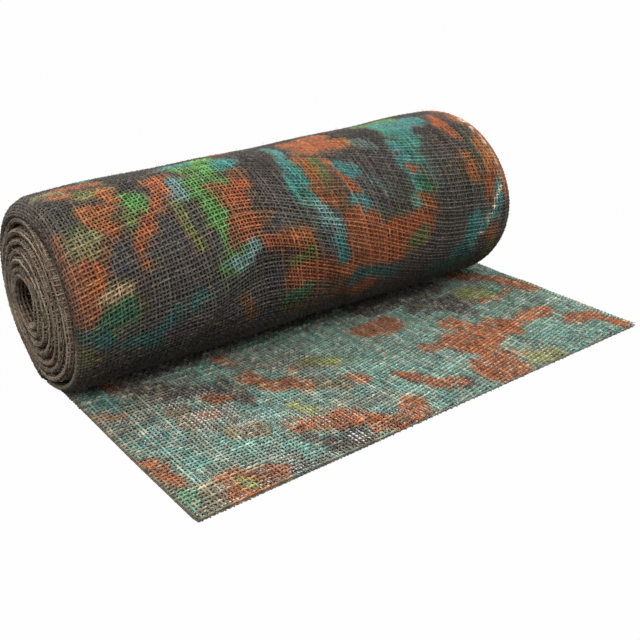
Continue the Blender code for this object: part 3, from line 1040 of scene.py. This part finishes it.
def coilYarns(end, sides):
    rng = np.random.default_rng(coil["seed"] + len(end))
    wound, run = coilLengths(end)
    half, pitch = coil["halfCloth"], cloth["pitch"]
    places = np.arange(pitch, run[-1], pitch)
    places = places + rng.normal(0, 0.12 * pitch, len(places))
    strands = Strands()
    fold = end == "left"
    # Yarns that come out along the cloth: round the fold, or cut off at the selvedge
    profile = [(half * share, depth) for share, depth in coil["loop"]]
    tip, tipDepth = coil["tip"]
    for place in np.interp(places, run, wound):
        if fold:
            path = profile + [(half * tip, tipDepth), (-half * tip, tipDepth)]
            paths = [path + [(-offset, depth) for offset, depth in profile[::-1]]]
        else:
            stub = rng.uniform(*coil["stub"])
            paths = [profile + [(half, stub)], [(-o, d) for o, d in profile] + [(-half, stub + 0.0004)]]
        for path in paths:
            offsets = np.array([p[0] for p in path]) + rng.normal(0, 0.0002, len(path))
            depths = np.array([p[1] for p in path])
            winds = np.linspace(place, place + rng.normal(0, coil["lean"]), len(path))
            points = coilPoint(end, winds, offsets, depths)
            shade = coilPrint(winds, depths, coil["seed"] + 20) * rng.uniform(*coil["yarnTone"])
            pale = (np.exp(-(depths / 0.0012) ** 2) * rng.uniform(0.0, 0.45))[:, None]
            shade = mix(shade, linear(*coil["paleTip"]), pale)
            strands.add(points, cloth["girth"] * rng.uniform(0.7, 1.0), shade)
    # Yarns that follow the edge round and round
    lines = [(side * half, depth) for side in (1, -1) for depth in coil["edgeYarns"]]
    if fold:
        lines += coil["foldYarns"]
    steps = np.interp(np.arange(0, run[-1], pitch), run, wound)
    for offset, depth in lines:
        stray = 0.0004 * latticeNoise(steps * 23, 5 + depth * 900, coil["seed"] + 31)
        swing = np.where(np.arange(len(steps)) % 2 == 0, 1.0, -1.0) * cloth["rise"]
        points = coilPoint(end, steps, offset + swing, depth + stray)
        shade = coilPrint(steps, np.full(len(steps), depth), coil["seed"] + 24)
        if (offset, depth) in coil["foldYarns"]:
            worn = smooth(-0.3, 0.5, latticeNoise(steps * 7, 3.5 + offset * 900, coil["seed"] + 35))
            shade = mix(shade, linear(*coil["paleFold"]), 0.5 * worn[:, None])
        width = cloth["girth"] * (1 + 0.2 * latticeNoise(steps * 40, depth * 700, coil["seed"] + 33))
        strands.add(points, width, shade)
    return spin(strands, end + "CoilYarns", sides, finishes["coilYarn"])


# The rest of the doubled cloth, wound inside: one long sheet folded along the left end
inner = {
    "turnSteps": 56,
    "half": coil["halfCloth"] - 0.0004,
    "leftDepths": (0.0016, 0.004, 0.008, 0.014, 0.030),
    "rightDepths": (0.0016, 0.005, 0.012, 0.030),
    "foldDepth": 0.0011,
    "paintedShadeDepth": 0.012,            # painted shade, darker the deeper it lies
    "depthPaintedShade": (0.70, 0.12),
}


def woundCloth():
    wound = np.linspace(0.0, coil["turns"], coil["turns"] * inner["turnSteps"] + 1)[:, None]
    plies = []
    for side in (1, -1):
        ply = [("left", side * inner["half"], depth) for depth in inner["leftDepths"]]
        ply += [("right", side * inner["half"], depth) for depth in inner["rightDepths"][::-1]]
        plies.append(ply)
    fold = [("left", side * 0.5 * inner["half"], inner["foldDepth"]) for side in (1, -1)]
    path = plies[0][::-1] + fold + plies[1]
    grid = np.stack([coilPoint(end, wound[:, 0], offset, depth) for end, offset, depth in path], axis=1)
    run = runLength(grid[:, 8])
    layout = np.stack(np.meshgrid(run, runLength(grid[5]), indexing="ij"), axis=-1)
    depths = np.array([depth for _, _, depth in path])[None, :]
    paintedShadeScale, least = inner["depthPaintedShade"]
    # Painted shade, darker the deeper in the coil
    shown = paintedShadeScale * np.exp(-depths / inner["paintedShadeDepth"]) + least
    colours = coilPrint(wound, depths, coil["seed"] + 20) * shown[..., None]
    return gridSheet("woundCloth", grid, colours, layout, finishes["woundCloth"]), run[-1]


# The loose end: two open plies, joined by the fold at the left
loose = {
    "length": roll["axisY"] + 0.0100 - looseLow.y,
    "cornerRadius": 0.0025,
    "foldRadius": 0.0012,
    "pitch": (0.00302, 0.00272),  # between the lengthwise yarns, left and right
    "pitchAcross": 0.0036,
    "spare": 0.06,               # extra net past the cut edge, which the slant needs
    "straightLeft": (-0.002, 0.030),  # the fold and the cut edge are straight, inwards the net wanders
    "straightCut": (0.058, 0.085),
    "slant": 0.21,               # the crossing yarns slant away to the right, from slantFrom on
    "slantFrom": 0.150,
    "slantEase": 0.04,
    "pressed": (0.140, 0.180),   # under the roll's edge the cloth is pressed closer
    "pressedMore": 0.5,
    "thinner": (-0.02, 0.10),    # and to the right its yarns are a little thinner
    "thinnerBy": 0.10,
    "freeEnds": 0.70,            # the share of its length that isn't held down by the roll
    "lowerHeight": 0.00125,
    "upperHeight": 0.00260,
    "seed": 501,
}
looseNet = {
    "spacing": 0.05,
    "wander": 0.16,
    "slub": 0.24,
    "tint": 0.20,
    # painted shadow where a yarn dips under, painted highlight where it rides over
    "shadow": 0.20,
    "speckle": 0.55,
    "girth": 0.94,
    "openGirth": 0.74,           # where one can see through both plies
    "acrossGirth": 1.10,
    # How far the lower ply lies to the right of the upper one, at the left and right edges,
    # where one can see through both and where one can't
    "openShift": (0.0008, 0.0022),
    "closedShift": (-0.0007, 0.0007),
}
# Where the two plies' holes line up, in millimetres: x, distance forward of the axis, size, how well
openPatches = [
    (-158, 117, 13, 1.15), (-143, 124, 11, 1.15), (-159, 85, 13, 0.60), (-183, 77, 10, 0.55),
    (-127, 117, 9, 0.80), (-197, 152, 11, 0.55), (-168, 215, 9, 0.95), (-141, 216, 12, 1.20),
    (-141, 196, 10, 0.75), (-112, 214, 9, 0.80), (-83, 205, 14, 1.15), (-55, 212, 10, 1.0),
    (-3, 182, 10, 0.75), (12, 205, 11, 0.75),
]
looseWaves = [
    {"height": 0.00045, "across": 2.3, "along": 1.6, "phase": 0.7},
    {"height": 0.00030, "across": 4.1, "along": 2.9, "phase": 3.0},
]
# Tones of the reverse beside its inks, with painted shade and light
looseToneAndShade = {
    "lowerInk": (112, 102, 90),  # the lower ply shows little of the print
    "lowerShare": 0.55,
    "greyInk": (112, 104, 94),   # in places the unprinted ground is greyer and browner, most at the left
    "greyShare": 0.66,
    "greyFades": (-0.08, 0.02),
    "paintedShadeScale": (0.84, 1.22),      # painted shade, dimmest beside the roll, and painted light, palest towards the cut edge
    "paintedShadeFades": (0.06, 0.19),
    "foldInk": (132, 112, 88),   # the fold is rubbed to bare jute
    "foldSpan": (0.0030, 0.0008),
    # Yarn by yarn the reverse shows more or less of the print
    "patches": [
        {"ink": (134, 104, 78), "perMetre": (260, 270), "between": (0.1, 0.8), "share": 0.34, "seed": 65},
        {"ink": (200, 190, 164), "perMetre": (330, 330), "between": (0.1, 0.9), "share": 0.42, "seed": 61},
        {"ink": (62, 60, 58), "perMetre": (300, 300), "between": (0.1, 0.9), "share": 0.58, "seed": 62},
    ],
}


def looseEdges(y):
    left = cloth["left"] + 0.0003 * (1 + np.sin(31 * y + 0.5))
    short = np.clip(1 - (y - looseLow.y) / loose["cornerRadius"], 0, 1)
    left = left + loose["cornerRadius"] * (1 - np.sqrt(1 - short * short))
    return left, np.full_like(left, cloth["left"] + cloth["width"])


def looseLift(across, along):
    height = 0.0
    for wave in looseWaves:
        phase = 2 * math.pi * (wave["across"] * across + wave["along"] * along) + wave["phase"]
        height = height + wave["height"] * (1 + np.sin(phase))
    free = np.clip((loose["freeEnds"] - along) / 0.25, 0, 1)
    return height * free * np.clip(across / 0.06, 0, 1)


def loosePoint(a, b, height, lifted):
    # a is the distance from the folded edge, b from the cut edge
    y = looseLow.y + b
    left, right = looseEdges(y)
    x = left + loose["foldRadius"] + a * (right - left - loose["foldRadius"]) / cloth["width"]
    z = height + lifted * looseLift(a / cloth["width"], b / loose["length"])
    return np.stack(np.broadcast_arrays(x, y, z), axis=-1)


def loosePrint(points, under):
    x, forward = points[..., 0] - roll["datum"], roll["axisY"] - points[..., 1]
    if under:
        blotches = strayBlotches(*lowerBlotches)
        colour = printed(x, forward, "ground", blotches, reverseInks, reverseHalos, 57)
        colour = mix(colour, linear(*looseToneAndShade["lowerInk"]), looseToneAndShade["lowerShare"])
    else:
        colour = printed(x, forward, "ground", looseBlotches, reverseInks, reverseHalos, 47)
    rubbed = smooth(*looseToneAndShade["foldSpan"], points[..., 0] - looseEdges(points[..., 1])[0])[..., None]
    cloudy = latticeNoise(x * 34, forward * 30, 63) + 0.5 * latticeNoise(x * 90, forward * 80, 64)
    grey = smooth(-0.4, 0.5, cloudy) * (1 - 0.65 * smooth(*looseToneAndShade["greyFades"], x))
    grey = grey * mix(0.30, 1.0, unprinted(colour, reverseInks["ground"]))
    colour = mix(colour, linear(*looseToneAndShade["greyInk"]), looseToneAndShade["greyShare"] * grey[..., None])
    # Painted shade beside the roll and painted light towards the cut edge
    colour = colour * mix(*looseToneAndShade["paintedShadeScale"], smooth(*looseToneAndShade["paintedShadeFades"], forward))[..., None]
    colour = mix(colour, linear(*looseToneAndShade["foldInk"]), 0.7 * rubbed)
    return speckled(colour, x, forward, looseToneAndShade["patches"])


def plySlip(a, b):
    # How far the lower ply's holes lie from the upper one's: 0 where one can see through both
    start = roll["datum"] - cloth["left"]
    cutEdge = roll["axisY"] - looseLow.y + loose["spare"]
    x, forward = (a - start) * 1000, (cutEdge - b) * 1000
    closed = np.ones_like(x)
    for place, away, reach, share in openPatches:
        near = np.exp(-((x - place) ** 2 + (forward - away) ** 2) / reach ** 2)
        closed = np.minimum(closed, 1 - share * near)
    return closed + 0.15 * latticeNoise(a * 40, b * 40, 91)


def looseNetPly(name, height, lifted, under, sides, drift):
    width = cloth["width"]
    across = yarnLines(-0.0014, width, lambda a: mix(*loose["pitch"], smooth(0.16, 0.25, a)))
    forward = np.arange(0.0031, loose["length"] + loose["spare"], loose["pitchAcross"])
    a, b = warpedGrid(across, forward, dict(looseNet, drift=drift), loose["seed"])
    a = mix(across[:, None], a, smooth(*loose["straightLeft"], across)[:, None])
    b = mix(forward[None, :], b, smooth(*loose["straightCut"], forward)[None, :])
    slip = plySlip(a, b)
    if under:
        share = a / width
        a = a + mix(mix(*looseNet["openShift"], share), mix(*looseNet["closedShift"], share), slip)
        back = 0.5 * loose["pitchAcross"] * (1 - slip)
        b = b + back * smooth(0.060, 0.066, forward)[None, :]
    a = np.clip(a, 0.0, width)
    beyond = np.maximum(0, a - loose["slantFrom"])
    b = b + loose["slant"] * beyond ** 2 / (beyond + loose["slantEase"]) - loose["spare"]
    kept = (b > 0.0004) & (b < loose["length"])
    b = np.clip(b, 0.0004, loose["length"])
    rng = np.random.default_rng(loose["seed"] + 7)
    grid = loosePoint(a, b, height, lifted)
    normals = np.zeros_like(grid)
    normals[..., 2] = 1.0
    colours = loosePrint(grid, under)
    pressed = 1 + loose["pressedMore"] * smooth(*loose["pressed"], grid[..., 1] - looseLow.y)
    pressed = pressed * (1 - loose["thinnerBy"] * smooth(*loose["thinner"], grid[..., 0]))
    girth = cloth["girth"] * mix(looseNet["openGirth"], looseNet["girth"], smooth(0.0, 0.8, slip)) * pressed
    sets = weaveStrands(grid, normals, colours, looseNet, girth, loose["seed"] + 40, kept)
    made = []
    for part, lines in zip(("Lengthwise", "Across"), sets):
        strands = Strands()
        for points, girth, colour in lines:
            if part == "Lengthwise":
                points, girth, colour = cutEnd(points, girth, colour, rng)
            elif points[0, 0] < cloth["left"] + 0.012 and not under:
                points, girth, colour = foldRound(points, girth, colour)
            if part == "Across" and not under and points[-1, 0] > cloth["left"] + width - 0.014:
                points, girth, colour = selvedgeNub(points, girth, colour, rng)
            points[:, 2] = np.maximum(points[:, 2], girth)
            strands.add(points, girth, colour)
        if part == "Lengthwise" and not under:
            # One yarn runs along inside the fold, coloured dark as painted shade
            edge = grid[0][kept[0]] - np.array((0.0011, 0, 0))
            edge[:, 2] = 0.5 * (loose["lowerHeight"] + loose["upperHeight"])
            strands.add(edge, cloth["girth"] * 0.9, linear(88, 76, 62))
        if part == "Across":
            # One yarn runs straight along the cut edge
            places = np.arange(0.001, width, 0.003)
            edge = loosePoint(places, np.full(len(places), 0.0006), height, 0.0)
            edge[:, 2] += 0.4 * cloth["rise"] * np.where(np.arange(len(places)) % 2 == 0, 1.0, -1.0)
            strands.add(edge, cloth["girth"] * 0.7, loosePrint(edge[:, None], under)[:, 0] * 0.85)
        made.append(spin(strands, name + part, sides, finishes["looseYarn"]))
    return made


def longer(*parts):
    return [np.concatenate(part) for part in parts]


def cutEnd(points, girth, colour, rng):
    # The cut ends stand a little past the last crossing yarn, unevenly
    tip = points[0] - (points[1] - points[0]) * 0.3
    tip[1] = looseLow.y + rng.uniform(0.0000, 0.0006)
    return longer((tip[None], points), ((girth[0] * 0.6,), girth), (colour[:1], colour))


def foldRound(points, girth, colour):
    # The crossing yarns turn under at the fold
    bend = 0.5 * (loose["upperHeight"] - loose["lowerHeight"])
    middle = points[0].copy()
    middle[2] = loose["lowerHeight"] + bend
    steps = []
    for angle in (-90, -30, 30, 60):
        turned = math.radians(angle)
        steps.append(middle + np.array((-bend * math.cos(turned) * 1.5, 0, bend * math.sin(turned))))
    # The part that turns under is painted in shade
    return longer((steps, points), ([girth[0]] * 4, girth), [colour[:1] * 0.72] * 4 + [colour])


def selvedgeNub(points, girth, colour, rng):
    # The nub's tip is painted darker as shade
    nub = points[-1] + np.array((rng.uniform(0.0000, 0.0006), rng.uniform(-0.0003, 0.0003), -0.0003))
    return longer((points, nub[None]), (girth, (girth[-1] * 0.85,)), (colour, colour[-1:] * 0.55))


# Stray fibres: how many there are on each part, how long they are, and how thick
fuzz = {
    "coilLeft": 900,
    "coilRight": 300,
    "felt": 2100,
    "roll": 1200,
    "loose": 600,
    "coilLength": (0.0015, 0.0038),
    "feltLength": (0.005, 0.016),
    "rollLength": (0.0015, 0.0040),
    "looseLength": (0.002, 0.0040),
    "girth": 0.00010,
    "coilInk": (198, 188, 160),
    "rollInk": (150, 140, 122),
    "looseInk": (190, 180, 156),
    "feltInks": [(134, 112, 94), (200, 186, 160), (62, 46, 38)],
    "feltShares": (0.42, 0.30, 0.28),
    "seed": 801,
}


def fibrePath(start, normal, rng, span, curl):
    length = rng.uniform(*span)
    direction = normal * rng.uniform(0.2, 0.9) + rng.normal(0, 0.7, 3)
    direction /= np.linalg.norm(direction)
    bend = rng.normal(0, curl, 3)
    share = np.linspace(0, 1, 4)[:, None]
    return start + direction * length * share + bend * length * share * share


def strayFibres():
    rng = np.random.default_rng(fuzz["seed"])
    strands = Strands()
    for end, count in (("left", fuzz["coilLeft"]), ("right", fuzz["coilRight"])):
        wound, run = coilLengths(end)
        at = np.interp(rng.uniform(0, run[-1], count), run, wound)
        side = rng.uniform(-1, 1, count)
        starts = coilPoint(end, at, side * coil["halfCloth"] * 1.4, 0.0006 + 0.003 * np.abs(side) ** 2)
        outward = np.array((-1.0 if end == "left" else 1.0, 0, 0))
        for start in starts:
            path = fibrePath(start, outward, rng, fuzz["coilLength"], 0.0008)
            girth = fuzz["girth"] * rng.uniform(0.7, 1.5)
            strands.add(path, girth, linear(*fuzz["coilInk"]) * rng.uniform(0.5, 1.1))
    # Felted fibre that lies along the fold's windings
    wound, run = coilLengths("left")
    tones = [linear(*ink) for ink in fuzz["feltInks"]]
    for _ in range(fuzz["felt"]):
        place = rng.uniform(0, run[-1] - 0.02)
        winds = np.interp(np.linspace(place, place + rng.uniform(*fuzz["feltLength"]), 5), run, wound)
        side = rng.uniform(-3.0, 3.0) * 0.001
        offset = side + rng.normal(0, 0.0004, 5)
        depth = 0.40 * abs(side) + rng.uniform(-0.0008, 0.0018) + rng.normal(0, 0.0003, 5)
        shade = tones[rng.choice(3, p=fuzz["feltShares"])] * rng.uniform(0.6, 1.1)
        strands.add(coilPoint("left", winds, offset, depth), fuzz["girth"] * rng.uniform(1.0, 2.2), shade)
    across = rng.uniform(0.004, wrapWidth() - 0.004, fuzz["roll"])
    turn = rng.uniform(0.06, 0.93, fuzz["roll"])
    for start, part in zip(wrapPoint(across, turn, 0.0004), turn):
        normal = np.array((0.0, math.sin(2 * math.pi * part), -math.cos(2 * math.pi * part)))
        path = fibrePath(start, normal * 0.3, rng, fuzz["rollLength"], 0.0006)
        girth = fuzz["girth"] * rng.uniform(0.6, 1.1)
        strands.add(path, girth, linear(*fuzz["rollInk"]) * rng.uniform(0.4, 1.1))
    for _ in range(fuzz["loose"]):
        a, b = rng.uniform(0, cloth["width"]), rng.uniform(0.001, 0.190)
        # Half of them stand at the cut edge
        if rng.uniform() < 0.5:
            b = 0.0012
        start = loosePoint(np.array(a), np.array(b), loose["upperHeight"] + 0.0005, 1.0)
        path = fibrePath(start, np.array((0, 0, 0.4)), rng, fuzz["looseLength"], 0.0008)
        path[:, 2] = np.maximum(path[:, 2], 0.0004)
        girth = fuzz["girth"] * rng.uniform(0.6, 1.1)
        strands.add(path, girth, linear(*fuzz["looseInk"]) * rng.uniform(0.6, 1.1))
    return spin(strands, "strayFibres", 3, finishes["fibre"])


lamps = {
    "skyLow": 0.10,              # the soft sky, dimmer towards the horizon
    "skyHigh": 1.15,
    "floorBounce": 0.12,         # how pale the floor is to the light
    "floorGlow": 0.985,          # and how much whiter it looks to the eye
    "panels": [("keyPanel", (-0.45, -1.0, 1.9), 1.2, 26.0), ("topPanel", (0.2, 0.2, 2.2), 1.6, 17.0)],
}


def studio():
    # Plain pale floor and soft light from all round, stronger from above and in front
    mesh = bpy.data.meshes.new("floor")
    mesh.from_pydata([(-6, -6, 0), (6, -6, 0), (6, 6, 0), (-6, 6, 0)], [], [(0, 1, 2, 3)])
    floor = bpy.data.objects.new("floor", mesh)
    bpy.context.scene.collection.objects.link(floor)
    pale = bpy.data.materials.new("paleFloor")
    pale.use_nodes = True
    tree = pale.node_tree
    matt = tree.nodes["Principled BSDF"]
    setInputs(tree, matt, {
        "Base Color": (*[lamps["floorBounce"]] * 3, 1), "Roughness": 1.0, "Specular IOR Level": 0.0})
    # To the eye the floor is nearly as white as a lit table
    glow = newNode(tree, "ShaderNodeEmission", {"Color": (1, 1, 1, 1), "Strength": 1.0})
    seen = newNode(tree, "ShaderNodeLightPath").outputs["Is Camera Ray"]
    both = newNode(tree, "ShaderNodeMixShader", {
        "Fac": mathNode(tree, "MULTIPLY", seen, lamps["floorGlow"]),
        1: matt.outputs["BSDF"], 2: glow.outputs["Emission"]})
    setInputs(tree, tree.nodes["Material Output"], {"Surface": both.outputs["Shader"]})
    mesh.materials.append(pale)
    world = bpy.data.worlds.new("softSky")
    world.use_nodes = True
    tree = world.node_tree
    way = newNode(tree, "ShaderNodeTexCoord")
    split = newNode(tree, "ShaderNodeSeparateXYZ", {"Vector": way.outputs["Generated"]})
    rising = newNode(tree, "ShaderNodeMapRange", {
        "From Min": -0.1, "From Max": 0.9, "To Min": lamps["skyLow"], "To Max": lamps["skyHigh"],
        "Value": split.outputs["Z"]})
    rising.interpolation_type = "SMOOTHSTEP"
    setInputs(tree, tree.nodes["Background"], {"Color": (1, 1, 1, 1), "Strength": rising.outputs["Result"]})
    bpy.context.scene.world = world
    for name, place, size, power in lamps["panels"]:
        light = bpy.data.lights.new(name, "AREA")
        light.shape = "DISK"
        light.size = size
        light.energy = power
        lamp = bpy.data.objects.new(name, light)
        lamp.location = place
        aim = np.array((0.0, 0.0, 0.05)) - np.array(place)
        flat = math.hypot(aim[0], aim[1])
        lamp.rotation_euler = (math.atan2(flat, -aim[2]), 0, math.atan2(aim[1], aim[0]) - math.pi / 2)
        bpy.context.scene.collection.objects.link(lamp)
    bpy.context.scene.view_settings.view_transform = "Standard"


# The photo's camera, in metres, degrees and pixels of a picture 640 wide
camera = {"place": (-0.42436, -0.53763, 0.33841), "down": 25.14, "yaw": -37.898, "focal": 871.05}


def photoCamera():
    data = bpy.data.cameras.new("photoView")
    data.sensor_width = 36.0
    data.lens = 36.0 * camera["focal"] / 640
    data.clip_start = 0.01
    made = bpy.data.objects.new("photoView", data)
    made.location = camera["place"]
    made.rotation_euler = (math.radians(90 - camera["down"]), 0, math.radians(camera["yaw"]))
    bpy.context.scene.collection.objects.link(made)
    bpy.context.scene.camera = made


print("camera and studio")
photoCamera()
studio()

print("materials")
spinner = spinTree()
groups = {"fibre": fibreGroup(), "weave": weaveGroup()}
finishes = {
    "yarn": yarnMaterial("printedYarn", {"sheen": 0.10, "twist": 170.0, "streaks": 0.34, "bareJute": 0.18}),
    "looseYarn": yarnMaterial("reverseYarn", {"sheen": 0.10, "twist": 170.0, "streaks": 0.36,
                                              "bareJute": 0.30}),
    "coilYarn": yarnMaterial("edgeYarn", {"sheen": 0.20, "twist": 170.0, "streaks": 0.45, "bareJute": 0.30}),
    "fibre": yarnMaterial("strayFibre", {"sheen": 0.0, "twist": 0.0, "streaks": 0.2, "bareJute": 0.0}),
    "innerPly": plyMaterial("innerPly", {"sheen": 0.0, "pitch": 0.00262, "holeShade": (84, 79, 74)}),
    "woundCloth": plyMaterial("woundPly", {"sheen": 0.0, "pitch": 0.0029, "holeShade": (26, 23, 21)}),
}

print("outer wrap")
ply = innerPly()
net = outerWrap()
print("coil")
wound, woundLength = woundCloth()
coilEnds = [coilYarns("left", 4), coilYarns("right", 3)]
print("loose end")
upper = looseNetPly("looseUpper", loose["upperHeight"], 1.0, False, 4, 0.0016)
lower = looseNetPly("looseLower", loose["lowerHeight"], 0.0, True, 3, 0.0024)
print("stray fibres")
hairs = strayFibres()

for piece in [ply, wound, hairs, *net, *coilEnds, *upper, *lower]:
    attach(piece, "root")
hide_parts("wound_roll")
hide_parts("loose_end")
